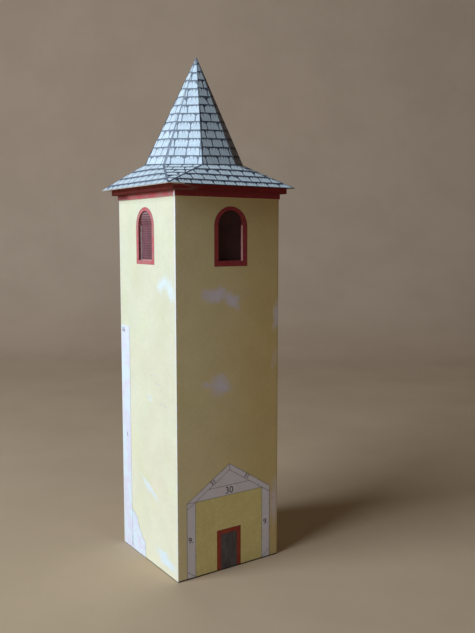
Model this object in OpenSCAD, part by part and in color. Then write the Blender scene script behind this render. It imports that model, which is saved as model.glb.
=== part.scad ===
// Card model of a village church tower, folded and glued from thin card.
// A square hollow tower has an arched louvre window near the top of each side,
// a Z-folded cornice strip under the eaves, and an eight-sided spire that stands
// on a flared skirt. The roof is glued on a little off centre, and the fold at the
// foot of the spire is uneven. The front faces -Y and the left side faces -X. The
// origin is the centre of the base, and +Z points up.

/* [Card] */
// Thickness of the card
card_t = 0.4; // [0.3:0.05:0.6]
// Gap left under the roof at the upper edges of the walls and the cornice
roof_gap = 0.1; // [0.05:0.05:0.3]

/* [Tower] */
// Outside width of each side of the tower
tower_w = 55; // [48:0.5:66]
// Height of the cornice's underside above the ground
soffit_z = 173.4; // [171:0.2:200]

/* [Windows] */
// Width of each arched window
window_w = 13.3; // [9:0.1:18]
// How far the window is set to the right of the middle of the front, right, back and left walls
window_shift = [0.9, 0, 0, -0.6]; // [-2:0.1:2]
// How far the window sills are below the cornice's underside
sill_drop = 30.4; // [29.4:0.1:60]
// Height of the straight jambs, from the sill to the foot of the arch
jamb_h = 15.8; // [8:0.1:17]
// Depth from the face of the wall back to the louvre panel
reveal_d = 1.8; // [1.4:0.1:4]
// Gap at each end of the flap that is folded in at the sill
sill_flap_gap = 0.3; // [0.1:0.1:1]
// Margin of the louvre panel past the window, behind the wall
louvre_margin = 2; // [1:0.5:3.5]

/* [Glue tabs] */
// Width of the tabs folded in along the foot of the walls
base_tab_w = 5; // [3:0.5:8]
// Gap at each end of a base tab
base_tab_gap = 0.5; // [0.2:0.1:2]
// Width of the seam tab that joins the back wall to the left wall
seam_tab_w = 5; // [3:0.5:8]
// Distance of the seam tab from the base tabs and from the height of the soffit
seam_tab_inset = 2; // [1:0.5:10]

/* [Cornice] */
// Height of the flange that is glued to the wall
flange_h = 2.4; // [1.5:0.1:4]
// How far the cornice stands out from the wall
cornice_d = 2.6; // [1.5:0.1:4]

/* [Roof] */
// Overhang of the eaves past the walls
eaves_overhang = 5.7; // [4.5:0.1:9]
// Height of the eaves above the underside of the cornice
eaves_rise = 2.6; // [1:0.1:5]
// Height of the flared skirt, from the eaves to the middle of the spire's foot
skirt_h = 11.4; // [8:0.1:13]
// Width of the spire across the flats at its foot
spire_w = 43; // [36:0.2:46]
// Height of the spire from the middle of its foot to the tip
spire_h = 49.3; // [40:0.1:90]

/* [Unevenness of the roof, glued by hand] */
// How far the eaves are set to the left of the tower's axis
eaves_left = 1; // [-1:0.1:1]
// How far the eaves are set to the back of the tower's axis
eaves_back = -0.3; // [-1:0.1:1]
// How far the spire's foot is set to the left of the tower's axis
foot_left = 1; // [-1.5:0.1:1.5]
// How far the spire's foot is set to the back of the tower's axis
foot_back = 0.5; // [-1.5:0.1:1.5]
// How much higher the spire's foot stands at its right edge than at its left
foot_rise_right = 1.9; // [-3:0.1:3]
// How much higher the spire's foot stands at its back edge than at its front
foot_rise_back = 3.1; // [-3.5:0.1:3.5]

/* [Hidden] */
SIDES = ["front", "right", "back", "left"];
CORNERS = ["front_right", "back_right", "back_left", "front_left"];
$fn = 96;

cut = 1; // how far a cutter runs past the card on each side
half_w = tower_w / 2;
arch_r = window_w / 2;
sill_z = soffit_z - sill_drop;
arch_z = sill_z + jamb_h;

// Slopes of the roof, and the heights where they meet
eaves_half = half_w + eaves_overhang;
eaves_z = soffit_z + eaves_rise;
foot_r = spire_w / 2;
foot_z = eaves_z + skirt_h;
tip_z = foot_z + spire_h;
skirt_angle = atan(skirt_h / (eaves_half - foot_r));
spire_angle = atan(spire_h / foot_r);

// Upright distance through the card on each slope
skirt_drop = card_t / cos(skirt_angle);
spire_drop = card_t / cos(spire_angle);

// Fold line inside the roof, where the undersides of the skirt and the spire meet
fold_in = (spire_drop - skirt_drop) / (tan(spire_angle) - tan(skirt_angle));
fold_r = foot_r - fold_in;
fold_z = foot_z + fold_in * tan(spire_angle) - spire_drop;

// Corner points of the roof, on the inner or the outer face of the card. The corners of
// the eaves run anticlockwise from the front right, and those of the spire's foot from
// the right end of its front edge.
octagon_half = tan(22.5); // half a side of an octagon whose apothem is 1
function turned(p, angle) = [
    p.x * cos(angle) - p.y * sin(angle), p.x * sin(angle) + p.y * cos(angle), p.z
];
eaves_in_half = eaves_half - card_t * sin(skirt_angle);
function eaves(i, inside) =
    let (half = inside ? eaves_in_half : eaves_half)
    turned([half, -half, inside ? eaves_z - card_t * cos(skirt_angle) : eaves_z], 90 * i)
    + [-eaves_left, eaves_back, 0];
function foot(k, inside) =
    let (r = inside ? fold_r : foot_r)
    let (p = turned([r * octagon_half, -r, inside ? fold_z : foot_z], 45 * k))
    [
        p.x - foot_left, p.y + foot_back,
        p.z + (p.x * foot_rise_right + p.y * foot_rise_back) / spire_w
    ];
function tip(inside) = [0, 0, inside ? tip_z - spire_drop : tip_z];

// Height above a point on the plane through three points
function plane_z(plane, p) =
    let (n = cross(plane[1] - plane[0], plane[2] - plane[0]))
    plane[0].z - (n.x * (p.x - plane[0].x) + n.y * (p.y - plane[0].y)) / n.z;

// Corners of the skirt on side i. Its four corners aren't quite in one plane, so it is
// creased from the first of them to the third, which makes a low ridge.
function skirt_outline(i, inside) =
    [eaves(i - 1, inside), eaves(i, inside), foot(2 * i, inside), foot(2 * i - 1, inside)];
function skirt_corners(i, inside) =
    let (outer = skirt_outline(i, false))
    let (start = plane_z([outer[0], outer[1], outer[2]], outer[3]) < outer[3].z ? 1 : 0)
    [for (n = [0:3]) skirt_outline(i, inside)[(n + start) % 4]];
function broach_corners(i, inside) =
    [eaves(i, inside), foot(2 * i + 1, inside), foot(2 * i, inside)];
function facet_corners(k, inside) = [foot(k, inside), foot(k + 1, inside), tip(inside)];

// Height of the roof's underside on side i, at x along the side and r from the axis
underside = [for (i = [0:3]) let (skirt = skirt_corners(i, true)) each [
    [skirt[0], skirt[1], skirt[2]], [skirt[0], skirt[2], skirt[3]], broach_corners(i, true)
]];
function underside_z(i, x, r) =
    min([for (plane = underside) plane_z(plane, turned([x, -r, 0], 90 * i))]);

// Outline of an upright face of side i that reaches from the ground to the roof, at a
// distance r from the tower's axis; its upper corners slope down under the broaches
module upright_outline(i, r) {
    inward = (eaves_in_half - r) / (eaves_in_half - fold_r);
    hip_x = eaves_in_half + inward * (fold_r * octagon_half - eaves_in_half);
    polygon(concat(
        [[-r, 0], [r, 0]],
        [for (x = [r, hip_x, -hip_x, -r]) [x, underside_z(i, x, r) - roof_gap]]
    ));
}

// Panel of card between an outer and an inner outline with as many points, both listed
// anticlockwise as seen from outside and creased from their first point. Each edge face
// is split from its lower outer point to its upper inner point, so that neighbours meet
// without a gap.
module panel(outer, inner) {
    n = len(outer);
    polyhedron(
        points = concat(outer, inner),
        faces = concat(
            [for (i = [1:n - 2]) [0, i + 1, i]],
            [for (i = [1:n - 2]) [n, n + i, n + i + 1]],
            [for (i = [0:n - 1]) let (j = (i + 1) % n)
                each outer[i].z <= outer[j].z
                    ? [[i, j, n + j], [i, n + j, n + i]]
                    : [[i, j, n + i], [j, n + j, n + i]]]
        )
    );
}

// Strip of card on the ground with both ends cut back at 45 degrees: the long edge
// lies along X, and the strip reaches towards +Y
module tab(length, width) {
    linear_extrude(card_t)
        polygon([
            [-length / 2, 0], [length / 2, 0],
            [length / 2 - width, width], [width - length / 2, width]
        ]);
}

module window_cutter(i) {
    translate([window_shift[i] - arch_r, -half_w - cut, sill_z])
        cube([window_w, card_t + 2 * cut, jamb_h]);
    translate([window_shift[i], -half_w - cut, arch_z])
        rotate([-90, 0, 0])
        cylinder(r = arch_r, h = card_t + 2 * cut);
}

// Wall of side i, mitred at its upright edges, with the window cut through it
module wall(i) {
    color("khaki")
        difference() {
            intersection() {
                linear_extrude(tip_z)
                    polygon([
                        [-half_w, -half_w], [half_w, -half_w],
                        [half_w - card_t, card_t - half_w], [card_t - half_w, card_t - half_w]
                    ]);
                translate([0, cut, 0])
                    rotate([90, 0, 0])
                    linear_extrude(half_w + 2 * cut)
                    upright_outline(i, half_w);
            }
            window_cutter(i);
        }
}

// Flaps folded in at both jambs and at the sill of the window on side i
module window_reveal(i) {
    flap_d = reveal_d - card_t;
    sill_flap_w = window_w - 2 * sill_flap_gap;
    color("firebrick") {
        for (x = [-arch_r - card_t, arch_r])
            translate([window_shift[i] + x, card_t - half_w, sill_z])
                cube([card_t, flap_d, jamb_h]);
        translate([window_shift[i] - sill_flap_w / 2, card_t - half_w, sill_z - card_t])
            cube([sill_flap_w, flap_d, card_t]);
    }
}

// Panel behind the window on side i, on the edges of the flaps
module louvre_panel(i) {
    left = window_shift[i] - arch_r - louvre_margin;
    color("dimgray")
        translate([left, reveal_d - half_w, sill_z - louvre_margin])
        cube([window_w + 2 * louvre_margin, card_t, jamb_h + arch_r + 2 * louvre_margin]);
}

// Tab folded in at the foot of a wall, flat on the ground
module base_tab() {
    color("whitesmoke")
        translate([0, card_t - half_w, 0])
        tab(tower_w - 2 * card_t - 2 * base_tab_gap, base_tab_w);
}

// Tab of the back wall, glued to the inside of the left wall
module seam_tab() {
    bottom = card_t + seam_tab_inset;
    seam_length = soffit_z - seam_tab_inset - bottom;
    color("whitesmoke")
        translate([card_t - half_w, half_w - card_t, bottom + seam_length / 2])
        rotate([0, 90, 0])
        mirror([0, 1, 0])
        tab(seam_length, seam_tab_w);
}

// Z-folded strip on side i: a flange on the wall, a soffit and an upright fascia that
// reaches up to the roof, mitred at the ends
module cornice(i) {
    fascia_r = half_w + cornice_d;
    profile = [
        [half_w, soffit_z - flange_h], [half_w + card_t, soffit_z - flange_h],
        [half_w + card_t, soffit_z], [fascia_r, soffit_z],
        [fascia_r, foot_z], [fascia_r - card_t, foot_z],
        [fascia_r - card_t, soffit_z + card_t], [half_w, soffit_z + card_t]
    ];
    color("crimson")
        intersection() {
            translate([-fascia_r, 0, 0])
                rotate([90, 0, 90])
                mirror([1, 0, 0])
                linear_extrude(2 * fascia_r)
                polygon(profile);
            linear_extrude(tip_z)
                polygon([[0, 0], [-tower_w, -tower_w], [tower_w, -tower_w]]);
            rotate([90, 0, 0])
                linear_extrude(fascia_r + cut)
                upright_outline(i, fascia_r);
        }
}

// Flared foot of the roof above the wall of side i
module skirt(i) {
    color("lightsteelblue")
        panel(skirt_corners(i, false), skirt_corners(i, true));
}

// Triangle of the roof at corner i, below a corner facet of the spire
module broach(i) {
    color("lightsteelblue")
        panel(broach_corners(i, false), broach_corners(i, true));
}

// Facet of the spire whose foot runs from corner k to the next
module spire_facet(k) {
    color("lightblue")
        panel(facet_corners(k, false), facet_corners(k, true));
}

for (i = [0:3]) {
    rotate(90 * i) wall(i);
    rotate(90 * i) window_reveal(i);
    rotate(90 * i) louvre_panel(i);
    rotate(90 * i) base_tab();
    rotate(90 * i) cornice(i);
    skirt(i);
    broach(i);
    spire_facet(2 * i - 1);
    spire_facet(2 * i);
}
seam_tab();
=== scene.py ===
import math
import random

import bpy
from mathutils import Matrix, Vector


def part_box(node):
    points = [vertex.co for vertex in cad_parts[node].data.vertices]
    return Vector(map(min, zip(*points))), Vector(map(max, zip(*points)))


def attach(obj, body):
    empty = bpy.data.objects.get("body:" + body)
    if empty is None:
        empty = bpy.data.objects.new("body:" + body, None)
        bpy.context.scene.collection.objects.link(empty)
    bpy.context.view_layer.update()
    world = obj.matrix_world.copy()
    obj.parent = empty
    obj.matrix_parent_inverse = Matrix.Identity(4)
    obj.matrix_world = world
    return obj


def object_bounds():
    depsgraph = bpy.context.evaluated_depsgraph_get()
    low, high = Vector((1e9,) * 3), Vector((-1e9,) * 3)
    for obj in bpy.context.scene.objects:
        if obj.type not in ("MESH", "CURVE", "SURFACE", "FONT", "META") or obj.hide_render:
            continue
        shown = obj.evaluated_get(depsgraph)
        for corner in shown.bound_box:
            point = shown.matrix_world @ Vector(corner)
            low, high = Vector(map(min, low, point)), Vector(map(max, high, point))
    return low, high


# Looks of a hand-made card model of a church tower: printed card, drawn glue areas and roof tiles.
# Lengths of the print are in millimetres on its own face. On a wall, u runs to the right as seen
# from outside with 0 at the middle, and z is the height above the ground.

MM = 0.001
LAYER = 0.02  # millimetres from the card, or from one layer of print, to the next layer

# The sides in the order of their numbers. A side's number is also its quarter turns from the front.
SIDES = ["front", "right", "back", "left"]
FRONT = 0
LEFT = 3
CORNERS = ["front_right", "back_right", "back_left", "front_left"]

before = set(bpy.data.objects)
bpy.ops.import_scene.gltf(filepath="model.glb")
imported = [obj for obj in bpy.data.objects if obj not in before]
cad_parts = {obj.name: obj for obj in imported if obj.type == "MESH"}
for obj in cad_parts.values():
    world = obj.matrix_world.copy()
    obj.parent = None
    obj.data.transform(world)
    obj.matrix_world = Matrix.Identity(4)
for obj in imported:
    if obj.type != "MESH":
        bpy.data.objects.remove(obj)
cad_low, cad_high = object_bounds()

# Sizes that come from the CAD model, in millimetres
louvre_low, louvre_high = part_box("front_louvre_panel")
reveal_low, reveal_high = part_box("front_window_reveal")
CARD_T = (louvre_high[1] - louvre_low[1]) / MM
HALF_W = -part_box("front_wall")[0][1] / MM
WINDOW_HALF = (reveal_high[0] - reveal_low[0]) / 2 / MM - CARD_T
SILL_Z = reveal_low[2] / MM + CARD_T
SPRING_Z = reveal_high[2] / MM
REVEAL_D = HALF_W + louvre_low[1] / MM
CORNICE_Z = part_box("front_cornice")[0][2] / MM

# Height of the cornice's flange, below its soffit, as in the CAD model
FLANGE_H = 2.4


def side_turn(turns):
    """Turn about the tower's axis that brings the front to the side with this number."""
    return Matrix.Rotation(turns * math.pi / 2, 3, "Z")


def window_middle(turns):
    """How far the window of a side is to the right of the middle of its wall, in millimetres."""
    low, high = (Vector(corner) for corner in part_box(SIDES[turns] + "_window_reveal"))
    return (low + high).dot(side_turn(turns) @ Vector((1, 0, 0))) / 2 / MM


# ---------------------------------------------------------------- colours

def linear(red, green, blue):
    """Linear colour, with alpha, of an sRGB colour whose parts run from 0 to 255."""
    parts = []
    for part in (red, green, blue):
        part = part / 255
        parts.append(part / 12.92 if part <= 0.04045 else ((part + 0.055) / 1.055) ** 2.4)
    return (*parts, 1.0)


CARD_WHITE = linear(236, 236, 232)
CARD_WORN = linear(226, 224, 214)
CREASE_WHITE = linear(244, 246, 244)
FOOT_SHADOW = linear(74, 62, 52)
FOOT_SHADOW_DARK = linear(62, 36, 24)
PRINT_WHITE = linear(236, 235, 249)
PRINT_WHITE_WORN = linear(234, 231, 240)
BLUE_WHITE = linear(234, 250, 255)
DIM_PINK_CARD = linear(209, 150, 142)
PINKER = (1.0, 0.968, 0.958, 1.0)
GREENER = (0.976, 0.992, 0.93, 1.0)
TILE_PAINTED_SHADE = (0.74, 0.64, 0.7, 1.0)
TILE_PAINTED_COOL_LIGHT = (0.97, 1.0, 1.06, 1.0)
NO_TINT = (1.0, 1.0, 1.0, 1.0)
DEEP_YELLOW = linear(237, 226, 158)
DEEP_YELLOW_WORN = linear(232, 219, 152)
DARK_RED = linear(84, 22, 26)
DOOR_RED = linear(166, 78, 58)
DOOR_RED_WORN = linear(156, 66, 56)
FASCIA_RED = linear(122, 42, 42)
FASCIA_DARK = linear(92, 30, 30)
SOFFIT_BROWN = linear(96, 52, 46)
RUBBED_RED = linear(150, 120, 114)
LOUVRE_PAINTED_LIGHT = linear(166, 134, 138)
LEAF = linear(106, 100, 103)
LEAF_DARK = linear(86, 82, 84)
SLATE = linear(54, 62, 78)
SLATE_WORN = linear(80, 88, 102)
SLATE_PAINTED_LIT = linear(122, 134, 147)
TILE = linear(218, 235, 240)
TILE_SHADE = linear(196, 215, 226)
FOLD = linear(156, 170, 180)
FOLD_WORN = linear(138, 151, 163)
BAND = linear(128, 140, 156)
BAND_WORN = linear(104, 116, 132)
EAVES_EDGE_SHADE = linear(60, 60, 68)
INK = linear(168, 166, 172)
INK_DARK = linear(132, 130, 138)
CRACK = linear(206, 205, 188)
FIGURE_INK = linear(22, 20, 26)
FIGURE_WORN = linear(50, 46, 54)
FLOOR = linear(194, 172, 142)
BACKDROP = linear(206, 186, 163)
STUDIO_WORN = (0.94, 0.935, 0.93, 1.0)

# Tints of the print on each side: the left's are paler as painted light and the front's deeper as painted
# shade, with middle tints on the plain sides. The wall's two are those of its left and right edges, or on
# the left side those of its foot and top.
SIDE_LIGHT_TINTS = {
    "front": {
        "wall": (linear(235, 225, 181), linear(220, 200, 146)),
        "surround": linear(156, 64, 63), "outline": linear(104, 42, 38),
        "flange": linear(151, 55, 68), "fascia": linear(140, 46, 54),
        "louvre": linear(74, 48, 51), "slat_gap": linear(64, 42, 44),
        "flap": linear(104, 44, 46),
        "patch": linear(228, 223, 242),
    },
    "left": {
        "wall": (linear(245, 244, 214), linear(233, 235, 207)),
        "surround": linear(192, 132, 129), "outline": linear(160, 100, 92),
        "flange": linear(208, 101, 106), "fascia": linear(138, 64, 60),
        "louvre": linear(137, 92, 98), "slat_gap": linear(104, 66, 72),
        "flap": linear(150, 84, 90),
        "patch": BLUE_WHITE,
    },
    "plain": {
        "wall": (linear(236, 228, 186), linear(232, 224, 180)),
        "surround": linear(178, 86, 86), "outline": linear(124, 60, 56),
        "flange": linear(180, 78, 84), "fascia": linear(138, 54, 56),
        "louvre": linear(104, 70, 74), "slat_gap": linear(82, 54, 58),
        "flap": linear(108, 48, 52),
        "patch": linear(226, 228, 240),
    },
}


# ---------------------------------------------------------------- materials

class Paint:
    """Node tree of one material of printed card."""

    def __init__(self, name):
        self.material = bpy.data.materials.new(name)
        self.material.use_nodes = True
        self.tree = self.material.node_tree
        self.shader = self.tree.nodes["Principled BSDF"]
        self.shader.inputs["Specular IOR Level"].default_value = 0.25
        self.at = self.node("ShaderNodeTexCoord").outputs["Object"]

    def node(self, kind, **settings):
        """New node of a kind, with its settings."""
        made = self.tree.nodes.new(kind)
        for key, value in settings.items():
            setattr(made, key, value)
        return made

    def feed(self, socket, value):
        """Link another node's output to a socket, or set the socket to a plain value."""
        if isinstance(value, bpy.types.NodeSocket):
            self.tree.links.new(value, socket)
        else:
            socket.default_value = value

    def math(self, operation, *values):
        """Result of a sum on one to three values."""
        made = self.node("ShaderNodeMath", operation=operation)
        for socket, value in zip(made.inputs, values):
            self.feed(socket, value)
        return made.outputs[0]

    def vector(self, operation, first, second=(0.0, 0.0, 0.0), output="Vector"):
        """Result of a sum on two vectors, or on a vector and a number."""
        made = self.node("ShaderNodeVectorMath", operation=operation)
        self.feed(made.inputs[0], first)
        if operation == "SCALE":
            self.feed(made.inputs["Scale"], second)
        else:
            self.feed(made.inputs[1], second)
        return made.outputs[output]

    def split(self, vector):
        """The three parts of a vector."""
        made = self.node("ShaderNodeSeparateXYZ")
        self.feed(made.inputs[0], vector)
        return made.outputs

    def noise(self, size, detail=3.0, at=None, output=0):
        """Noise whose largest forms are about size millimetres across."""
        made = self.node("ShaderNodeTexNoise")
        self.feed(made.inputs["Vector"], at or self.at)
        made.inputs["Scale"].default_value = 1 / (size * MM)
        made.inputs["Detail"].default_value = detail
        made.inputs["Roughness"].default_value = 0.6
        return made.outputs[output]

    def fade(self, value, start, end, low=0.0, high=1.0):
        """Smooth step of value from low at start to high at end."""
        made = self.node("ShaderNodeMapRange", interpolation_type="SMOOTHSTEP")
        self.feed(made.inputs["Value"], value)
        made.inputs["From Min"].default_value = start
        made.inputs["From Max"].default_value = end
        made.inputs["To Min"].default_value = low
        made.inputs["To Max"].default_value = high
        return made.outputs[0]

    def mix(self, share, first, second):
        """Colour that runs from first at share 0 to second at share 1."""
        made = self.node("ShaderNodeMix", data_type="RGBA")
        self.feed(made.inputs[0], share)
        self.feed(made.inputs[6], first)
        self.feed(made.inputs[7], second)
        return made.outputs[2]

    def turned(self, quarter_turns):
        """Coordinates turned so that the side with this number faces -Y: x is u and y is -distance."""
        made = self.node("ShaderNodeMapping", vector_type="POINT")
        self.feed(made.inputs["Vector"], self.at)
        made.inputs["Rotation"].default_value = (0, 0, -quarter_turns * math.pi / 2)
        return made.outputs[0]

    def reach(self):
        """Distance of the point from the tower's axis, measured square to the nearest side."""
        x, y, _ = self.split(self.at)
        return self.math("MAXIMUM", self.math("ABSOLUTE", x), self.math("ABSOLUTE", y))

    def corner(self):
        """The smaller of the two distances from the axis: near HALF_W at an upright edge."""
        x, y, _ = self.split(self.at)
        return self.math("MINIMUM", self.math("ABSOLUTE", x), self.math("ABSOLUTE", y))

    def facing(self):
        """The face's own direction."""
        return self.node("ShaderNodeNewGeometry").outputs["True Normal"]

    def away(self):
        """Distance from the tower's axis in the face's own direction, below 0 on faces that look inwards."""
        level = self.vector("MULTIPLY", self.at, (1.0, 1.0, 0.0))
        return self.vector("DOT_PRODUCT", level, self.facing(), output="Value")

    def outward(self):
        """1 on faces that look away from the tower's axis, and 0 on inner faces and edges."""
        return self.math("GREATER_THAN", self.away(), 0.6 * HALF_W * MM)

    def inward(self):
        """1 on faces that look towards the tower's axis."""
        return self.math("LESS_THAN", self.away(), -0.6 * HALF_W * MM)

    def finish(self, colour, grain=0.05, roughness=0.82):
        """Matt card: fibre and dots of print in the colour, a soft tooth and a faint wave in the sheet."""
        fibre = self.noise(0.35, 4.0)
        dots = self.noise(1.6, 3.0)
        waves = self.noise(26.0, 2.0)
        tone = self.math("ADD", self.fade(fibre, 0.25, 0.75, -grain, grain),
                         self.fade(dots, 0.25, 0.75, 1 - 0.6 * grain, 1 + 0.6 * grain))
        self.feed(self.shader.inputs["Base Color"], self.vector("SCALE", colour, tone))
        self.feed(self.shader.inputs["Roughness"],
                  self.fade(fibre, 0.2, 0.8, roughness - 0.08, roughness + 0.08))
        tooth = self.node("ShaderNodeBump")
        tooth.inputs["Strength"].default_value = 0.35
        tooth.inputs["Distance"].default_value = 0.02 * MM
        self.feed(tooth.inputs["Height"], fibre)
        sheet = self.node("ShaderNodeBump")
        sheet.inputs["Strength"].default_value = 0.3
        sheet.inputs["Distance"].default_value = 0.5 * MM
        self.feed(sheet.inputs["Height"], waves)
        self.feed(sheet.inputs["Normal"], tooth.outputs[0])
        self.feed(self.shader.inputs["Normal"], sheet.outputs[0])
        return self.material


def blotched(paint, first, second, size, share=1.0):
    """Two tints of one colour in soft blotches."""
    return paint.mix(paint.fade(paint.noise(size, 4.0), 0.35, 0.65, 0.0, share), first, second)


def plain_paint(name, first, second, size, grain=0.05):
    """Material in two tints of one colour."""
    paint = Paint(name)
    return paint.finish(blotched(paint, first, second, size), grain)


def patch(paint, at, middle, half_length, half_width, slope, strength):
    """Soft patch of bare plaster: an oval on the wall whose long axis rises at slope degrees."""
    made = paint.node("ShaderNodeMapping", vector_type="TEXTURE")
    paint.feed(made.inputs["Vector"], at)
    made.inputs["Location"].default_value = (middle[0] * MM, -HALF_W * MM, middle[1] * MM)
    made.inputs["Rotation"].default_value = (0, -math.radians(slope), 0)
    made.inputs["Scale"].default_value = (half_length * MM, 1.0, half_width * MM)
    away = paint.vector("LENGTH", made.outputs[0], output="Value")
    return paint.fade(away, 1.55, 0.25, 0.0, strength)


# Heights between which the left wall's tint changes from the painted light at its foot to its top tint,
# and between which its bare crease at the front corner grows
LEFT_LIGHT_RAMP = (0.0, 150)
CREASE_RAMP = (70, 150)

# Heights between which painted shade darkens the front wall towards the eaves, the share of its brightness
# that is left there, and the share that is left along its right edge under painted shade
EAVES_SHADE_RAMP = (105, 172)
EAVES_SHADE_SHARE = 0.87
FAR_EDGE_SHADE = 0.84

# Share of a window flap's depth that is printed, on its left and right jambs
FLAP_LEFT = 0.64
FLAP_RIGHT = 0.22

# Height of one printed slat
SLAT = 1.1

# Places u along the cornice: where the rubbed end of the front's fascia fades out, where the left flange
# deepens, and where the short end of the left flange starts
RUBBED_RAMP = (-24, -14)
DEEP_RAMP = (-14, -20)
SHORT_END = -17

# Place u on the front's eaves, to the right of which the card's edge is darkened with painted shade
SHADED_EDGE_FROM = -26

# Patches of bare plaster on each wall: middle (u, z), half length, half width, slope, strength
PATCHES = {
    "front": [
        ((-7.5, 128.2), 6.6, 3.0, -4, 0.9),
        ((0.9, 125.3), 5.0, 3.2, -38, 0.9),
        ((-4.6, 87.3), 5.6, 4.6, -48, 0.9),
        ((-11.0, 88.2), 4.0, 1.5, 6, 0.7),
        ((27.4, 118.0), 6.4, 2.0, 78, 0.8),
        ((26.2, 27.0), 9.5, 3.0, 86, 0.6),
        ((25.5, 97.0), 5.0, 1.8, 70, 0.3),
    ],
    "left": [
        ((16.3, 133.0), 5.4, 3.0, 18, 0.85),
        ((22.6, 130.6), 4.8, 2.2, -68, 0.85),
        ((0.8, 35.8), 8.0, 1.7, -27, 0.85),
        ((16.3, 6.4), 8.6, 2.6, -10, 1.0),
        ((1.9, 79.6), 3.0, 0.9, 0, 0.4),
    ],
    "right": [
        ((-9.0, 112.0), 7.0, 3.2, 12, 0.9),
        ((12.0, 60.0), 5.6, 3.8, -35, 0.9),
        ((-17.0, 22.0), 7.5, 2.4, -12, 0.8),
    ],
    "back": [
        ((8.0, 120.0), 6.2, 3.4, -14, 0.9),
        ((-12.0, 74.0), 6.4, 3.0, 32, 0.9),
        ((15.0, 14.0), 8.0, 2.6, 8, 0.8),
    ],
}


def light_tints_of(turns):
    """Tints of the print on the side with this number, which hold that side's painted light and shade."""
    return SIDE_LIGHT_TINTS.get(SIDES[turns], SIDE_LIGHT_TINTS["plain"])


def wall_paint(turns):
    """Outside print of one wall: washed yellow plaster with bare patches, and white folds at its edges, with
    painted light and shade added to it.
    """
    side = SIDES[turns]
    tints = light_tints_of(turns)
    paint = Paint(side + "_wall_print_and_painted_light")
    local = paint.turned(turns)
    u, _, z = paint.split(local)
    # Painted light: the left wall is paler towards its foot. On the other walls the tint runs across, on the
    # front darkening to the right as painted shade
    if turns == LEFT:
        light_ramp = paint.fade(z, LEFT_LIGHT_RAMP[0] * MM, LEFT_LIGHT_RAMP[1] * MM)
    else:
        light_ramp = paint.fade(u, -HALF_W * MM, HALF_W * MM)
    colour = paint.mix(light_ramp, *tints["wall"])
    pinker = paint.fade(paint.noise(30.0, 2.0), 0.4, 0.65)
    colour = paint.vector("MULTIPLY", colour, paint.mix(pinker, NO_TINT, PINKER))
    elsewhere = paint.vector("ADD", paint.at, (0.1, 0.2, 0.3))
    greener = paint.fade(paint.noise(20.0, 3.0, elsewhere), 0.45, 0.7)
    colour = paint.vector("MULTIPLY", colour, paint.mix(greener, NO_TINT, GREENER))
    colour = paint.vector("SCALE", colour, paint.fade(paint.noise(12.0, 4.0), 0.3, 0.7, 0.965, 1.025))
    if turns == FRONT:
        # Painted shade under the eaves
        eaves_shade = paint.fade(z, EAVES_SHADE_RAMP[0] * MM, EAVES_SHADE_RAMP[1] * MM, 1.0, EAVES_SHADE_SHARE)
        colour = paint.vector("SCALE", colour, eaves_shade)
    drift = paint.vector("SUBTRACT", paint.noise(6.0, 4.0, output=1), (0.5, 0.5, 0.5))
    wavy = paint.vector("ADD", local, paint.vector("SCALE", drift, 9.0 * MM))
    bare = 0.0
    for middle, half_length, half_width, slope, strength in PATCHES[side]:
        spot = patch(paint, wavy, middle, half_length, half_width, slope, strength)
        bare = paint.math("MAXIMUM", bare, spot)
    colour = paint.mix(bare, colour, tints["patch"])
    fold = paint.fade(paint.corner(), (HALF_W - 0.7) * MM, (HALF_W - 0.3) * MM)
    rubbed = paint.fade(paint.noise(3.0, 4.0), 0.45, 0.6)
    worn = paint.math("MULTIPLY", fold, rubbed)
    if turns == FRONT:
        worn = paint.math("MULTIPLY", worn, paint.math("LESS_THAN", u, 0.0))
        # Painted shade along the right edge
        far_edge_shade = paint.fade(u, (HALF_W - 1.1) * MM, (HALF_W - 0.3) * MM, 1.0, FAR_EDGE_SHADE)
        colour = paint.vector("SCALE", colour, far_edge_shade)
    colour = paint.mix(worn, colour, CARD_WHITE)
    if turns == LEFT:
        crease = paint.fade(u, (HALF_W - 1.2) * MM, (HALF_W - 0.7) * MM)
        higher = paint.fade(z, CREASE_RAMP[0] * MM, CREASE_RAMP[1] * MM, 0.35, 0.95)
        colour = paint.mix(paint.math("MULTIPLY", crease, higher), colour, CREASE_WHITE)
    # Painted shadow of the gap under the wall's foot
    foot_shadow = paint.fade(z, 0.5 * MM, 0.15 * MM, 0.0, 0.75)
    colour = paint.mix(foot_shadow, colour, FOOT_SHADOW)
    across = paint.math("ABSOLUTE", paint.math("SUBTRACT", u, window_middle(turns) * MM))
    at_window = paint.math("MULTIPLY", paint.math("LESS_THAN", across, (WINDOW_HALF + 0.3) * MM),
                           paint.math("GREATER_THAN", z, (SILL_Z - 1) * MM))
    edge = paint.mix(at_window, CARD_WHITE, tints["flap"])
    colour = paint.mix(paint.outward(), edge, colour)
    colour = paint.mix(paint.inward(), colour, CARD_WHITE)
    return paint.finish(colour, 0.035)


def flap_paint(turns):
    """Flaps of a window: dark red to the front, and bare card behind, dim pink on the front as painted shade
    in the recess.
    """
    paint = Paint(SIDES[turns] + "_flap_print_and_painted_light")
    red = blotched(paint, light_tints_of(turns)["flap"], DARK_RED, 3.0, 0.5)
    ragged = paint.fade(paint.noise(1.2, 3.0), 0.3, 0.7, -0.12 * MM, 0.12 * MM)
    depth = paint.math("SUBTRACT", HALF_W * MM, paint.math("ADD", paint.reach(), ragged))
    u = paint.split(paint.turned(turns))[0]
    right = paint.math("GREATER_THAN", u, window_middle(turns) * MM)
    on_left = FLAP_LEFT * REVEAL_D * MM
    on_right = FLAP_RIGHT * REVEAL_D * MM
    printed = paint.math("MULTIPLY_ADD", right, on_right - on_left, on_left)
    bare = paint.math("GREATER_THAN", depth, printed)
    # On the front the bare card is dim pink: painted shade in the recess
    card = DIM_PINK_CARD if turns == FRONT else CARD_WHITE
    return paint.finish(paint.mix(bare, red, card))


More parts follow.
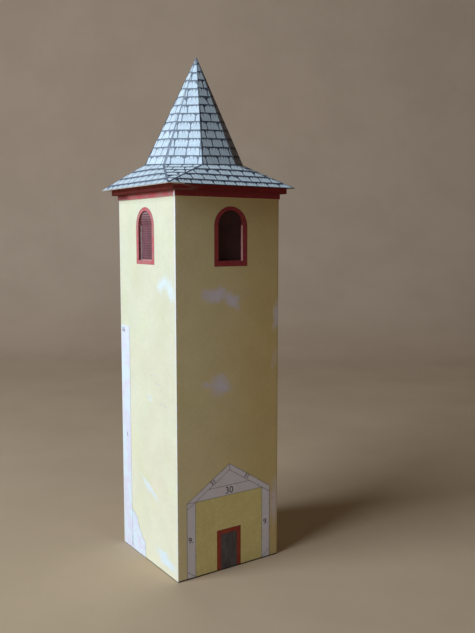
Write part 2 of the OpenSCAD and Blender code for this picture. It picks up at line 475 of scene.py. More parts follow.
def louvre_paint(turns):
    """Panel behind a window: printed slats in its side's tints, greyer and paler towards the arch except on
    the front as painted light in the arch's shadow, and a plain line at the sill."""
    tints = light_tints_of(turns)
    paint = Paint(SIDES[turns] + "_louvre_print_and_painted_light")
    z = paint.split(paint.at)[2]
    ripple = paint.fade(paint.noise(2.5, 3.0), 0.2, 0.8, -0.15, 0.15)
    phase = paint.math("FRACT", paint.math("ADD", paint.math("DIVIDE", z, SLAT * MM), ripple))
    gap = paint.math("ABSOLUTE", paint.math("SUBTRACT", phase, 0.5))
    body = blotched(paint, tints["louvre"], tints["slat_gap"], 4.0, 0.6)
    if turns != FRONT:
        # Painted light where the wall's edge shades the panel under the arch
        arch_light = paint.fade(z, (SPRING_Z + 1) * MM, (SPRING_Z + WINDOW_HALF) * MM, 0.0, 0.9)
        body = paint.mix(arch_light, body, LOUVRE_PAINTED_LIGHT)
    colour = paint.mix(paint.fade(gap, 0.2, 0.45), body, tints["slat_gap"])
    at_sill = paint.math("LESS_THAN", z, (SILL_Z + 0.3) * MM)
    sill = tints["flap"] if turns == FRONT else DIM_PINK_CARD
    colour = paint.mix(at_sill, colour, sill)
    return paint.finish(colour)


def cornice_paint(turns):
    """Folded strip under the eaves: flange, brown soffit and fascia, greyer where the front is rubbed and
    darker at the foot elsewhere. On the left the flange is deeper and shorter at the far end, and bare at
    the near corner."""
    # The flange and fascia tints hold this side's painted light and shade
    tints = light_tints_of(turns)
    paint = Paint(SIDES[turns] + "_cornice_print_and_painted_light")
    u, _, z = paint.split(paint.turned(turns))
    up = paint.split(paint.facing())[2]
    flange = blotched(paint, tints["flange"], tints["surround"], 5.0)
    fascia = blotched(paint, tints["fascia"], FASCIA_RED, 4.0, 0.6)
    if turns == FRONT:
        streaks = paint.noise(6.0, 3.0, paint.vector("MULTIPLY", paint.at, (1.0, 1.0, 5.0)))
        rubbed = paint.math("MULTIPLY", paint.fade(u, RUBBED_RAMP[0] * MM, RUBBED_RAMP[1] * MM, 1.0, 0.0),
                            paint.fade(streaks, 0.4, 0.6, 0.0, 0.75))
        fascia = paint.mix(rubbed, fascia, RUBBED_RED)
    else:
        at_foot = paint.fade(z, (CORNICE_Z + FLANGE_H + 1.0) * MM, (CORNICE_Z + FLANGE_H) * MM)
        fascia = paint.mix(at_foot, fascia, FASCIA_DARK)
    if turns == LEFT:
        far = paint.fade(u, DEEP_RAMP[0] * MM, DEEP_RAMP[1] * MM, 0.0, 0.75)
        flange = paint.mix(far, flange, FASCIA_RED)
        short = paint.math("MULTIPLY", paint.math("LESS_THAN", u, SHORT_END * MM),
                           paint.math("LESS_THAN", z, (CORNICE_Z + 0.5) * MM))
        flange = paint.mix(short, flange, RUBBED_RED)
        near_corner = paint.fade(u, (HALF_W - 0.9) * MM, (HALF_W - 0.5) * MM)
        flange = paint.mix(near_corner, flange, CREASE_WHITE)
    on_fascia = paint.math("GREATER_THAN", paint.reach(), (HALF_W + CARD_T + 0.05) * MM)
    colour = paint.mix(on_fascia, flange, fascia)
    down = paint.math("LESS_THAN", up, -0.5)
    colour = paint.mix(down, colour, blotched(paint, SOFFIT_BROWN, FASCIA_DARK, 3.0))
    on_soffit = paint.math("MULTIPLY", down, paint.math("GREATER_THAN", z, (CORNICE_Z + 0.2) * MM))
    printed = paint.math("MAXIMUM", paint.outward(), on_soffit)
    return paint.finish(paint.mix(printed, CARD_WHITE, colour))


def roof_paint():
    """Roof card: joints of the drawn tiles outside, paler on the left's slopes as painted light, white card
    inside, and edges at the eaves darkened with painted shade on the right and on the front but for its left
    end."""
    paint = Paint("roof_joint_print_and_painted_light")
    across, along, up = paint.split(paint.facing())
    # Painted light: joints paler on the slopes that face the key
    lit = paint.math("MULTIPLY", paint.fade(across, -0.45, -0.2, 1.0, 0.0),
                     paint.fade(up, 0.8, 0.6, 0.35, 1.0))
    joints = paint.mix(lit, blotched(paint, SLATE, SLATE_WORN, 2.0), SLATE_PAINTED_LIT)
    # Painted shade on the edges at the eaves that face away from the key
    right = paint.math("GREATER_THAN", across, 0.5)
    front = paint.math("MULTIPLY", paint.math("LESS_THAN", along, -0.5),
                       paint.math("GREATER_THAN", paint.split(paint.at)[0], SHADED_EDGE_FROM * MM))
    edge = paint.mix(paint.math("MAXIMUM", right, front), CARD_WHITE, EAVES_EDGE_SHADE)
    underneath = paint.mix(paint.outward(), CARD_WHITE, edge)
    return paint.finish(paint.mix(paint.math("GREATER_THAN", up, 0.2), underneath, joints), 0.1)


def tile_paint():
    """Pale body of a drawn tile, each in its own tone: browner on the right as painted shade, and bluer on
    the front as a painted cool tint of the light.
    """
    paint = Paint("tile_print_and_painted_light")
    tone = paint.node("ShaderNodeAttribute", attribute_name="tone").outputs["Fac"]
    body = paint.mix(paint.fade(paint.noise(1.4, 4.0), 0.35, 0.7, 0.0, 0.7), TILE, TILE_SHADE)
    across, along, _ = paint.split(paint.facing())
    # Tints by facing: painted shade on the right and painted cool light on the front
    browner = paint.mix(paint.fade(across, 0.2, 0.5), NO_TINT, TILE_PAINTED_SHADE)
    bluer = paint.mix(paint.fade(along, -0.5, -0.8), NO_TINT, TILE_PAINTED_COOL_LIGHT)
    body = paint.vector("MULTIPLY", body, browner)
    body = paint.vector("MULTIPLY", body, bluer)
    return paint.finish(paint.vector("SCALE", body, tone), 0.06)


def leaf_paint():
    """Door leaf: dark grey planks drawn with upright strokes."""
    paint = Paint("door_leaf_print")
    streaks = paint.vector("MULTIPLY", paint.at, (1.0, 1.0, 0.12))
    grain = paint.fade(paint.noise(0.9, 4.0, streaks), 0.35, 0.65)
    return paint.finish(paint.mix(grain, LEAF, LEAF_DARK), 0.1)


MATERIALS = {
    "card": plain_paint("bare_card", CARD_WHITE, CARD_WORN, 12.0),
    "roof": roof_paint(),
    "tile": tile_paint(),
    "fold": plain_paint("worn_fold", FOLD, FOLD_WORN, 2.0, 0.1),
    "shade": plain_paint("fold_shade_print", SLATE, SLATE_WORN, 2.0, 0.1),
    "band": plain_paint("fold_print", BAND, BAND_WORN, 2.0, 0.1),
    "white": plain_paint("glue_area_print", PRINT_WHITE, PRINT_WHITE_WORN, 6.0, 0.03),
    "blue_white": plain_paint("glue_strip_print", BLUE_WHITE, PRINT_WHITE, 6.0, 0.03),
    "foot": plain_paint("foot_shade_print", FOOT_SHADOW_DARK, FOOT_SHADOW, 3.0, 0.1),
    "yellow": plain_paint("inner_wall_print_and_painted_light", DEEP_YELLOW, DEEP_YELLOW_WORN, 5.0, 0.07),
    "leaf": leaf_paint(),
    "ink": plain_paint("ink_line_print", INK, INK_DARK, 1.5, 0.15),
    "crack": plain_paint("hair_crack_print", CRACK, CARD_WHITE, 1.5, 0.1),
    "figure": plain_paint("ink_figure_print", FIGURE_INK, FIGURE_WORN, 1.0, 0.15),
    "door_frame": plain_paint("door_frame_print", DOOR_RED, DOOR_RED_WORN, 3.0, 0.08),
}
for turns, side in enumerate(SIDES):
    # Each side's surround and outline tints hold its painted light and shade
    tints = light_tints_of(turns)
    MATERIALS[side + "_louvre"] = louvre_paint(turns)
    MATERIALS[side + "_surround"] = plain_paint(side + "_surround_print_and_painted_light", tints["surround"],
                                                tints["flange"], 3.0, 0.08)
    MATERIALS[side + "_outline"] = plain_paint(side + "_outline_print_and_painted_light", tints["outline"],
                                               tints["surround"], 1.2, 0.1)


# ---------------------------------------------------------------- shapes

def add_piece(name, faces, material, tones=None):
    """Sheet of print made of faces, each a list of points in metres in anticlockwise order. Each face may
    have a tone of its own."""
    points = []
    loops = []
    for face in faces:
        loops.append(range(len(points), len(points) + len(face)))
        points.extend(face)
    mesh = bpy.data.meshes.new(name)
    mesh.from_pydata(points, [], [list(loop) for loop in loops])
    mesh.materials.append(MATERIALS[material])
    if tones:
        tone = mesh.attributes.new("tone", "FLOAT", "FACE")
        tone.data.foreach_set("value", tones)
    mesh.update()
    piece = bpy.data.objects.new(name, mesh)
    bpy.context.scene.collection.objects.link(piece)
    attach(piece, "root")


def on_wall(turns, layer, points):
    """Points (u, z) in millimetres, put on the outside of a wall."""
    turn = side_turn(turns)
    return [turn @ (Vector((u, -HALF_W - layer * LAYER, z)) * MM) for u, z in points]


def behind_wall(turns, depth, points):
    """Points (u, z) in millimetres, put at a depth behind the outside of a wall."""
    turn = side_turn(turns)
    return [turn @ (Vector((u, depth - HALF_W, z)) * MM) for u, z in points]


# How near the bent top of the louvre card comes to the back of the wall, and the bend's curve
BEND_GAP = 0.05
BEND_POWER = 0.8


def bend_depth(z):
    """Depth behind the outside of a wall of the louvre card at a height z in the arch of the window."""
    share = min(1.0, max(0.0, (z - SPRING_Z) / WINDOW_HALF))
    return REVEAL_D - (REVEAL_D - CARD_T - BEND_GAP) * share ** BEND_POWER


def wall_piece(name, turns, faces, material, layer=1):
    """Print on the outside of a wall, its faces lists of points (u, z) in millimetres."""
    add_piece(name, [on_wall(turns, layer, face) for face in faces], material)


def rectangle(left, right, bottom, top):
    """Corners of an upright rectangle, anticlockwise."""
    return [(left, bottom), (right, bottom), (right, top), (left, top)]


def stroke(points, width):
    """Quads of a drawn line through the points, mitred where it bends."""
    points = [Vector(point) for point in points]
    edges = []
    for i, point in enumerate(points):
        runs = []
        if i > 0:
            runs.append((point - points[i - 1]).normalized())
        if i < len(points) - 1:
            runs.append((points[i + 1] - point).normalized())
        along = (runs[0] + runs[-1]).normalized()
        across = Vector((-along.y, along.x))
        reach = width / 2 / max(0.4, along.dot(runs[0]))
        edges.append((point - across * reach, point + across * reach))
    return [[first[0], second[0], second[1], first[1]] for first, second in zip(edges, edges[1:])]


def strokes(lines, width):
    """Quads of several drawn lines."""
    return [face for points in lines for face in stroke(points, width)]


# Height of a window's painted surround below its sill and over its head, as shares of its width at the
# sides, and the straight parts in the round head
FOOT_SHARES = {"front": 1.1, "right": 1.0, "back": 1.0, "left": 0.82}
HEAD_SHARE = 0.78
ARCH_STEPS = 32


def window_outline(turns, margin):
    """Outline of a side's window, anticlockwise from its lower left corner, margin millimetres outside the
    opening at the sides."""
    middle = window_middle(turns)
    half = WINDOW_HALF + margin
    spring = SPRING_Z - (1 - HEAD_SHARE) * margin
    foot = SILL_Z - FOOT_SHARES[SIDES[turns]] * margin
    outline = [(middle - half, foot), (middle + half, foot)]
    for i in range(ARCH_STEPS + 1):
        angle = math.pi * i / ARCH_STEPS
        outline.append((middle + half * math.cos(angle), spring + half * math.sin(angle)))
    return outline


def ring(inner, outer):
    """Quads between two outlines with as many points."""
    count = len(inner)
    return [[outer[i], outer[(i + 1) % count], inner[(i + 1) % count], inner[i]] for i in range(count)]


# Height of a figure in Blender's own font at size 1
FONT_FIGURE = 0.68


def figures(text, height, middle, slope):
    """Faces of printed figures: text centred on middle, its line rising at slope degrees."""
    curve = bpy.data.curves.new("figures", "FONT")
    curve.body = text
    curve.align_x = "CENTER"
    curve.align_y = "CENTER"
    curve.offset = -0.002
    curve.resolution_u = 4
    holder = bpy.data.objects.new("figures", curve)
    mesh = bpy.data.meshes.new_from_object(holder)
    scale = height / FONT_FIGURE
    turn = Matrix.Rotation(math.radians(slope), 2)
    faces = []
    for polygon in mesh.polygons:
        corners = [mesh.vertices[i].co.xy * scale for i in polygon.vertices]
        faces.append([turn @ corner + Vector(middle) for corner in corners])
    bpy.data.objects.remove(holder)
    bpy.data.curves.remove(curve)
    bpy.data.meshes.remove(mesh)
    return faces


# ---------------------------------------------------------------- walls

# Widths of a window's painted surround and of the thin line round it
SURROUND_W = 1.95
EDGE_W = 0.25

# How far the bent top of the louvre card reaches past the window on each side and over the arch, and the
# straight parts in its bend
BEND_ASIDE = 3.2
BEND_ABOVE = 0.5
BEND_STEPS = 10

# Height of the painted shadow line along the foot of each wall, and how far its ends are from the corners
FOOT_SHADOW_LINES = {"front": 0.55, "right": 0.5, "back": 0.3, "left": 0.2}
FOOT_INSET = 0.05

for turns, side in enumerate(SIDES):
    opening = window_outline(turns, 0.0)
    outer = window_outline(turns, SURROUND_W)
    rim = window_outline(turns, SURROUND_W + EDGE_W)
    wall_piece(side + "_window_surround", turns, ring(opening, outer), side + "_surround")
    wall_piece(side + "_window_outline", turns, ring(outer, rim), side + "_outline")

    # Behind the arch the louvre card bends forward and meets the back of the wall, and the arch's edge is
    # folded in to it
    middle = window_middle(turns)
    half = WINDOW_HALF + BEND_ASIDE
    rows = []
    for i in range(BEND_STEPS + 1):
        z = SPRING_Z + (WINDOW_HALF + BEND_ABOVE) * i / BEND_STEPS
        rows.append(behind_wall(turns, bend_depth(z), [(middle - half, z), (middle + half, z)]))
    faces = [[low[0], low[1], high[1], high[0]] for low, high in zip(rows, rows[1:])]
    add_piece(side + "_louvre_top", faces, side + "_louvre")
    arch = opening[2:]
    outside = [behind_wall(turns, CARD_T, [point])[0] for point in arch]
    inside = [behind_wall(turns, bend_depth(point[1]), [point])[0] for point in arch]
    faces = [[outside[i], outside[i + 1], inside[i + 1], inside[i]] for i in range(len(arch) - 1)]
    add_piece(side + "_arch_return", faces, side + "_outline")

    # Dark painted shadow line along the wall's foot
    foot_end = HALF_W - FOOT_INSET
    line = rectangle(-foot_end, foot_end, 0.0, FOOT_SHADOW_LINES[side])
    wall_piece(side + "_foot_shadow_line", turns, [line], "foot", layer=4)

# Area on the front wall where a lower building is glued on, with its door: strips from STRIP_IN to STRIP_OUT
# on both sides, under a gable with rafters and a collar
SHOULDER_Z = 35.3
STRIP_IN = 18.4
STRIP_OUT = 22.8
RIDGE_Z = 50.0
RAFTER_SLOPE = 0.636
INNER_RIDGE_Z = 47.0
COLLAR_Z = 39.9
DOOR_U = -0.4
DOOR_HALF = 6.6
DOOR_TOP = 19.4
LEAF_HALF = 4.35
LEAF_TOP = 17.2
GROUND = 0.05  # height at which the print on the walls starts
LINE_W = 0.24

gable = [(-STRIP_OUT, SHOULDER_Z), (STRIP_OUT, SHOULDER_Z), (0, RIDGE_Z)]
left_strip = rectangle(-STRIP_OUT, -STRIP_IN, GROUND, SHOULDER_Z)
right_strip = rectangle(STRIP_IN, STRIP_OUT, GROUND, SHOULDER_Z)
wall_piece("front_gable_area", FRONT, [gable, left_strip, right_strip], "white")
wall_piece("front_inner_wall", FRONT, [rectangle(-STRIP_IN, STRIP_IN, GROUND, SHOULDER_Z)], "yellow")

rafter_end = INNER_RIDGE_Z - STRIP_OUT * RAFTER_SLOPE
collar_half = (INNER_RIDGE_Z - COLLAR_Z) / RAFTER_SLOPE
glue_lines = [
    [
        (-STRIP_OUT, GROUND), (-STRIP_OUT, SHOULDER_Z), (0, RIDGE_Z),
        (STRIP_OUT, SHOULDER_Z), (STRIP_OUT, GROUND),
    ],
    [(-STRIP_IN, GROUND), (-STRIP_IN, SHOULDER_Z), (STRIP_IN, SHOULDER_Z), (STRIP_IN, GROUND)],
    [(-STRIP_OUT, rafter_end), (0, INNER_RIDGE_Z), (STRIP_OUT, rafter_end)],
    [(-collar_half, COLLAR_Z), (collar_half, COLLAR_Z)],
    [(0, INNER_RIDGE_Z), (0, RIDGE_Z)],
    [(-STRIP_OUT, SHOULDER_Z), (-STRIP_IN, SHOULDER_Z)],
    [(-STRIP_OUT, 3.8), (-STRIP_IN, 0.6)],
    [(STRIP_IN, 0.6), (STRIP_OUT, 4.2)],
]
wall_piece("front_glue_lines", FRONT, strokes(glue_lines, LINE_W), "ink", layer=2)

front_figures = (
    figures("30", 3.1, (-0.2, 37.4), 0)
    + figures("9.", 2.7, (-20.8, 18.0), 0)
    + figures("9.", 2.7, (20.6, 17.9), 0)
    + figures("31", 2.0, (-9.0, 42.7), 33)
    + figures("31", 2.0, (9.6, 42.5), -33)
)
wall_piece("front_figures", FRONT, front_figures, "figure", layer=3)

door = rectangle(DOOR_U - DOOR_HALF, DOOR_U + DOOR_HALF, GROUND, DOOR_TOP)
leaf = rectangle(DOOR_U - LEAF_HALF, DOOR_U + LEAF_HALF, GROUND, LEAF_TOP)
wall_piece("front_door_frame", FRONT, [door], "door_frame", layer=2)
wall_piece("front_door_leaf", FRONT, [leaf], "leaf", layer=3)

# Glue strip on the left wall, and the plaster that has fallen beside its foot
STRIP_LEFT = -HALF_W + 0.3
STRIP_RIGHT = -18.2
STRIP_TOP = 111.0

# Widths of the lines drawn on the left wall
PLASTER_EDGE_W = 0.2
STRIP_EDGE_W = 0.16
NICK_W = 0.4
CRACK_W = 0.26

plaster = [
    (STRIP_RIGHT, GROUND), (-4.1, GROUND), (-3.9, 7.2), (-7.0, 9.3),
    (-10.7, 13.6), (-12.7, 17.7), (-15.4, 19.2), (STRIP_RIGHT, 20.2),
]
glue_strip = rectangle(STRIP_LEFT, STRIP_RIGHT, GROUND, STRIP_TOP)
wall_piece("left_glue_strip", LEFT, [glue_strip, plaster], "blue_white")
plaster_edge = (
    stroke(plaster[1:], PLASTER_EDGE_W)
    + stroke([(STRIP_RIGHT, GROUND), (STRIP_RIGHT, STRIP_TOP)], STRIP_EDGE_W)
    + stroke([(-18.0, 1.0), (-17.7, 6.6)], NICK_W)
)
wall_piece("left_plaster_edge", LEFT, plaster_edge, "ink", layer=2)
cracks = [
    [(3.3, 90.2), (8.7, 91.1)],
    [(6.6, 87.2), (10.0, 87.1), (13.4, 87.4)],
    [(12.8, 85.1), (12.9, 83.9)],
    [(12.2, 78.5), (16.9, 78.2), (20.1, 78.0)],
    [(-0.5, 79.6), (4.3, 80.1)],
]
wall_piece("left_cracks", LEFT, strokes(cracks, CRACK_W), "crack", layer=2)
left_figures = figures("36", 2.2, (-24.8, 108.8), 0) + figures("1.", 2.1, (-21.8, 57), 0)
wall_piece("left_figures", LEFT, left_figures, "figure", layer=3)


# ---------------------------------------------------------------- roof

# Height of a course of tiles, mean width of a tile, gap between two tiles and joint between two courses
COURSE = 4.3
TILE_W = 5.66
GAP = 0.48
SPIRE_JOINT = 0.52
SKIRT_JOINT = 1.0

# How far tiles keep from a panel's base and far edges, from the slanted folds of the skirt and broaches, and
# from those of the spire, and how far a strip drawn along a fold keeps from its ends
EDGE_GAP = 0.1
HIP_GAP = 0.45
CREASE_GAP = 0.12
FOLD_INSET = 0.2

# Upper edge of a tile: its straight parts, the share of tiles with low shoulders, how deep the strokes cut
# it at their rims, and how uneven it is, both as shares of the tile's height
PROFILE_STEPS = 12
LOW_SHOULDERS = 0.12
STROKE_RIM = 0.06
EDGE_JITTER = 0.1

# Length of one part of a strip along a fold
FOLD_STEP = 3

# Strips drawn along the folds: material, width at the lower and at the upper end, and least share of it
PALE_CREASE = ("fold", 0.75, 0.05, 0.5)
DARK_CREASE = ("shade", 0.6, 0.1, 0.0)
CREASE_BAND = ("band", 0.3, 0.3, 0.6)
SKIRT_BAND = ("band", 0.35, 0.35, 0.6)
BROACH_BAND = ("band", 0.5, 0.5, 0.6)

# How much the tiles of some panels are printed paler, as painted light, and deeper, as painted shade
PAINTED_LIGHT_SHARES = {
    "front_left_spire_facet": 1.14,
    "front_spire_facet": 0.87,
    "front_right_spire_facet": 0.72,
    "left_skirt": 0.93,
    "front_left_broach": 1.1,
    "front_skirt": 1.08,
}


def clip(face, start, end, inset):
    """The part of a flat face on the left of the line from start to end, at least inset from it."""
    run = (end - start).normalized()

    def inside(point):
        return run.x * (point.y - start.y) - run.y * (point.x - start.x) - inset

    kept = []
    for i, point in enumerate(face):
        before = face[i - 1]
        here, there = inside(point), inside(before)
        if (here >= 0) != (there >= 0):
            kept.append(before.lerp(point, there / (there - here)))
        if here >= 0:
            kept.append(point)
    return kept


class Panel:
    """Outer face of a roof panel, flat or creased once, laid out in millimetres: x runs along its base edge
    and y up the slope. The base edge joins its two lowest corners or, with base_high, its two highest."""

    def __init__(self, node, base_high):
        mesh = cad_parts[node].data
        outer = [polygon for polygon in mesh.polygons
                 if polygon.normal.z > 0.2 and polygon.normal.to_2d().dot(polygon.center.to_2d()) > 0]
        self.normal = sum((polygon.normal * polygon.area for polygon in outer), Vector()).normalized()
        corners = {}
        for polygon in outer:
            for i in polygon.vertices:
                corner = mesh.vertices[i].co.copy()
                corners[tuple(round(part, 6) for part in corner)] = corner
        ranked = sorted(corners.values(), key=lambda corner: corner.z, reverse=base_high)
        self.origin = (ranked[0] + ranked[1]) / 2
        along = ranked[1] - ranked[0]
        along -= self.normal * along.dot(self.normal)
        self.along = along.normalized()
        if self.normal.cross(self.along).z < 0:
            self.along.negate()
        self.up = self.normal.cross(self.along)
        outline = [(self.flat(corner), rank < 2) for rank, corner in enumerate(ranked)]
        middle = sum((corner for corner, _ in outline), Vector((0, 0))) / len(outline)
        outline.sort(key=lambda item: math.atan2(item[0].y - middle.y, item[0].x - middle.x))
        self.outline = [corner for corner, _ in outline]
        self.edges = [(outline[i - 1][0], outline[i][0], outline[i - 1][1] != outline[i][1])
                      for i in range(len(outline))]
        self.far_y = sum(self.flat(corner).y for corner in ranked[2:]) / len(ranked[2:])
        self.facets = []
        for polygon in outer:
            points = [mesh.vertices[i].co.copy() for i in polygon.vertices]
            self.facets.append(([self.flat(point) for point in points], polygon.normal.copy(), points[0]))

    def flat(self, point):
        """Place of a point in the panel's own x and y."""
        away = point - self.origin
        return Vector((away.dot(self.along), away.dot(self.up))) / MM

    def placed(self, face, layer, hip_gap):
        """The part of a flat face that fits on the panel, hip_gap from its slanted edges, as faces in the
        frame, one for each facet."""
        made = []
        for start, end, is_hip in self.edges:
            face = clip(face, start, end, hip_gap if is_hip else EDGE_GAP)
        for outline, normal, corner in self.facets:
            part = face
            for i, end in enumerate(outline):
                part = clip(part, outline[i - 1], end, 0.0)
            if len(part) < 3:
                continue
            points = []
            for point in part:
                base = self.origin + (self.along * point.x + self.up * point.y) * MM
                drop = (corner - base).dot(normal) / self.normal.dot(normal)
                points.append(base + self.normal * drop + normal * (layer * LAYER * MM))
            made.append(points)
        return made


def tile_profile(left, right, bottom, top, rng):
    """Upper edge of a drawn tile, from left to right: drooping shoulders, and strokes that run down."""
    height = top - bottom
    width = right - left
    if rng.random() < LOW_SHOULDERS:
        droop, power = 0.6, 2
    else:
        droop, power = rng.uniform(0.16, 0.34), rng.choice((4, 6, 8))
    points = []
    for i in range(PROFILE_STEPS + 1):
        share = i / PROFILE_STEPS
        fall = droop * abs(2 * share - 1) ** power
        points.append((left + width * share, top - height * (fall + rng.uniform(0.0, EDGE_JITTER))))
    count = rng.randint(2, 3)
    for n in range(count):
        middle = left + width * (n + rng.uniform(0.85, 1.15)) / (count + 1)
        half = rng.uniform(0.16, 0.27)
        depth = rng.uniform(0.3, 0.55) * height
        rim = top - STROKE_RIM * height
        points = [point for point in points if abs(point[0] - middle) > half]
        points += [(middle - half, rim), (middle, top - depth), (middle + half, rim)]
    return sorted(points)


def tile_faces(panel, rng, first_y, downwards, joint, hip_gap, shade):
    """Drawn tiles of a panel in courses counted from first_y, up or down: faces and the tone of each."""
    lowest = min(corner.y for corner in panel.outline)
    highest = max(corner.y for corner in panel.outline)
    reach = max(abs(corner.x) for corner in panel.outline) + TILE_W
    faces = []
    tones = []
    for course in range(math.ceil((highest - lowest) / COURSE) + 2):
        base = first_y + (-course if downwards else course - 1) * COURSE
        bottom = base + joint / 2
        top = base + COURSE - joint / 2
        x = -reach + (course % 2) * TILE_W / 2 + rng.uniform(-0.6, 0.6)
        while x < reach:
            width = TILE_W * rng.uniform(0.86, 1.14)
            left = x + GAP / 2
            right = x + width - GAP / 2
            lean = rng.uniform(-0.12, 0.12)
            # The tone holds a random part and the panel's share of painted light and shade
            tone = shade * rng.uniform(0.92, 1.0)
            profile = tile_profile(left, right, bottom, top, rng)
            for (x0, y0), (x1, y1) in zip(profile, profile[1:]):
                quad = [
                    Vector((x0 - lean, bottom)), Vector((x1 - lean, bottom)),
                    Vector((x1 + lean, y1)), Vector((x0 + lean, y0)),
                ]
                placed = panel.placed(quad, 1, hip_gap)
                faces.extend(placed)
                tones.extend([tone] * len(placed))
            x += width
    return faces, tones


def fold_strip(panel, rng, edge, foot_width, tip_width, least):
    """Strip of uneven width along one slanted fold of a panel, at least that share of its mean width."""
    start, end, _ = edge
    run = (end - start).normalized()
    if start.y < end.y:
        start_width, end_width = foot_width, tip_width
    else:
        start_width, end_width = tip_width, foot_width
    start = start + run * FOLD_INSET
    end = end - run * FOLD_INSET
    steps = max(3, int((end - start).length / FOLD_STEP))
    across = Vector((-run.y, run.x))
    widths = []
    for n in range(steps + 1):
        mean = start_width + (end_width - start_width) * n / steps
        widths.append(mean * rng.uniform(least, 2 - least))
    faces = []
    for n in range(steps):
        first = start.lerp(end, n / steps)
        second = start.lerp(end, (n + 1) / steps)
        strip = [first, second, second + across * widths[n + 1], first + across * widths[n]]
        faces.extend(panel.placed(strip, 2, 0.0))
    return faces


rng = random.Random(7)  # one run of draws for the whole roof, so the order of the panels matters
roof_nodes = []


def cover(node, base_high, downwards, joint, hip_gap, left_fold=None, right_fold=None):
    """Tiles of one roof panel, and the strips drawn along its left and right folds. The courses are counted
    up from its lower edge or, with downwards, down from its upper edge."""
    panel = Panel(node, base_high)
    from_far = downwards and not base_high
    first_y = panel.far_y if from_far else 0.0
    faces, tones = tile_faces(panel, rng, first_y, downwards, joint, hip_gap, PAINTED_LIGHT_SHARES.get(node, 1.0))
    add_piece(node + "_tiles", faces, "tile", tones)
    hips = sorted((edge for edge in panel.edges if edge[2]), key=lambda edge: edge[0].x + edge[1].x)
    for edge, fold, end in zip(hips, (left_fold, right_fold), ("_left", "_right")):
        if fold:
            material, *widths = fold
            add_piece(node + end + "_fold", fold_strip(panel, rng, edge, *widths), material)
    roof_nodes.append(node)


for corner in CORNERS:
    cover(corner + "_spire_facet", False, False, SPIRE_JOINT, CREASE_GAP, PALE_CREASE)
    cover(corner + "_broach", True, True, SKIRT_JOINT, HIP_GAP, BROACH_BAND)
for side in SIDES:
    cover(side + "_spire_facet", False, False, SPIRE_JOINT, CREASE_GAP, DARK_CREASE, CREASE_BAND)
    cover(side + "_skirt", False, True, SKIRT_JOINT, HIP_GAP, None, SKIRT_BAND)


# ---------------------------------------------------------------- CAD nodes

def repaint(node, material):
    """Give a CAD node its material."""
    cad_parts[node].data.materials[0] = material


for turns, side in enumerate(SIDES):
    repaint(side + "_wall", wall_paint(turns))
    repaint(side + "_window_reveal", flap_paint(turns))
    repaint(side + "_louvre_panel", MATERIALS[side + "_louvre"])
    repaint(side + "_base_tab", MATERIALS["card"])
    repaint(side + "_cornice", cornice_paint(turns))
repaint("seam_tab", MATERIALS["card"])
for node in roof_nodes:
    repaint(node, MATERIALS["roof"])


# ---------------------------------------------------------------- floor, light and camera

# Camera: the view that the photograph was taken from, in metres
CAMERA_AT = Vector((-0.18191, -0.30229, 0.15278))
CAMERA_TOWARDS = Vector((0.5581, 0.8231, -0.1049))
LENS = 41.83

# Light: a large soft key from the left and an even pale world
KEY_TOWARDS = Vector((0.860, 0.010, -0.520))
KEY_DISTANCE = 1.0
KEY_SIZE = 0.65
KEY_POWER = 9.6
KEY_COLOUR = (0.96, 1.08, 1.26)
WORLD_STRENGTH = 0.087
WORLD_COLOUR = (1.0, 0.80, 0.60, 1.0)

# Floor and backdrop, in metres from the tower's axis: where the curve between them starts, the curve's
# radius and its straight parts, the backdrop's height, half the width, and the floor's front edge
SWEEP_START = 0.55
SWEEP_RADIUS = 0.35
SWEEP_STEPS = 24
SWEEP_TOP = 1.6
SWEEP_HALF = 5.0
SWEEP_FRONT = 5.0

# Distances at which the floor's tint starts to change and has become the backdrop's
TINT_NEAR = 0.4 * SWEEP_START
TINT_FAR = SWEEP_START + SWEEP_RADIUS


def studio_paint(back):
    """Plain paper, whose tint changes from the floor's to the backdrop's along the way back."""
    paint = Paint("studio_paper")
    away = paint.vector("DOT_PRODUCT", paint.at, (back.x, back.y, 0.0), output="Value")
    tint = paint.mix(paint.fade(away, TINT_NEAR, TINT_FAR), FLOOR, BACKDROP)
    tint = paint.vector("MULTIPLY", tint, blotched(paint, NO_TINT, STUDIO_WORN, 90.0))
    return paint.finish(tint, 0.015, 0.9)


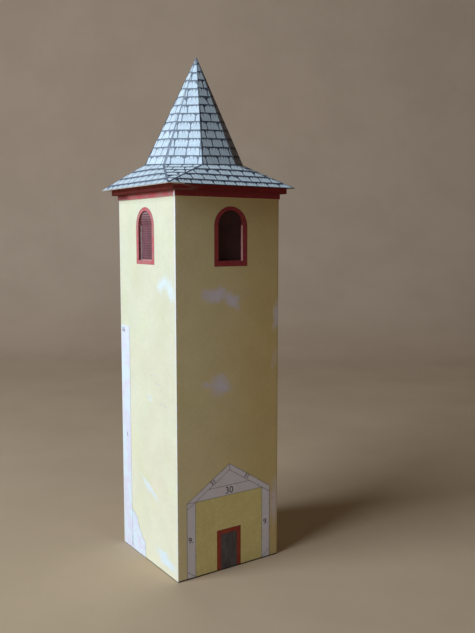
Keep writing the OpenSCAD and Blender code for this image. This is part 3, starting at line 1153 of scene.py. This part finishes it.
def sweep():
    """Floor that curves up into a backdrop behind the tower, square to the camera's view."""
    back = CAMERA_TOWARDS.xy.normalized()
    aside = Vector((back.y, -back.x))
    profile = [(-SWEEP_FRONT, 0.0), (SWEEP_START, 0.0)]
    for i in range(1, SWEEP_STEPS + 1):
        angle = math.pi / 2 * i / SWEEP_STEPS
        profile.append((SWEEP_START + SWEEP_RADIUS * math.sin(angle), SWEEP_RADIUS * (1 - math.cos(angle))))
    profile.append((SWEEP_START + SWEEP_RADIUS, SWEEP_TOP))
    points = []
    for away, z in profile:
        for across in (-SWEEP_HALF, SWEEP_HALF):
            flat = back * away + aside * across
            points.append((flat.x, flat.y, z))
    faces = [[2 * i, 2 * i + 1, 2 * i + 3, 2 * i + 2] for i in range(len(profile) - 1)]
    mesh = bpy.data.meshes.new("studio_sweep")
    mesh.from_pydata(points, [], faces)
    mesh.shade_smooth()
    mesh.materials.append(studio_paint(back))
    floor = bpy.data.objects.new("studio_sweep", mesh)
    bpy.context.scene.collection.objects.link(floor)


def add_key():
    """Large soft lamp, aimed at the middle of the tower."""
    lamp = bpy.data.lights.new("key", "AREA")
    lamp.shape = "SQUARE"
    lamp.size = KEY_SIZE
    lamp.energy = KEY_POWER
    lamp.color = KEY_COLOUR
    key = bpy.data.objects.new("key", lamp)
    towards = KEY_TOWARDS.normalized()
    key.location = Vector((0, 0, cad_high[2] / 2)) - towards * KEY_DISTANCE
    key.rotation_euler = towards.to_track_quat("-Z", "Y").to_euler()
    bpy.context.scene.collection.objects.link(key)


def add_world():
    """Even light from all round."""
    world = bpy.data.worlds.new("studio")
    world.use_nodes = True
    background = world.node_tree.nodes["Background"]
    background.inputs["Color"].default_value = WORLD_COLOUR
    background.inputs["Strength"].default_value = WORLD_STRENGTH
    bpy.context.scene.world = world


def add_camera():
    """Camera at the photograph's viewing angle."""
    data = bpy.data.cameras.new("camera")
    data.lens = LENS
    data.sensor_width = 36
    data.clip_start = 0.01
    camera = bpy.data.objects.new("camera", data)
    camera.location = CAMERA_AT
    camera.rotation_euler = CAMERA_TOWARDS.to_track_quat("-Z", "Y").to_euler()
    bpy.context.scene.collection.objects.link(camera)
    bpy.context.scene.camera = camera


sweep()
add_key()
add_world()
add_camera()
bpy.context.scene.view_settings.view_transform = "Standard"
bpy.context.view_layer.update()
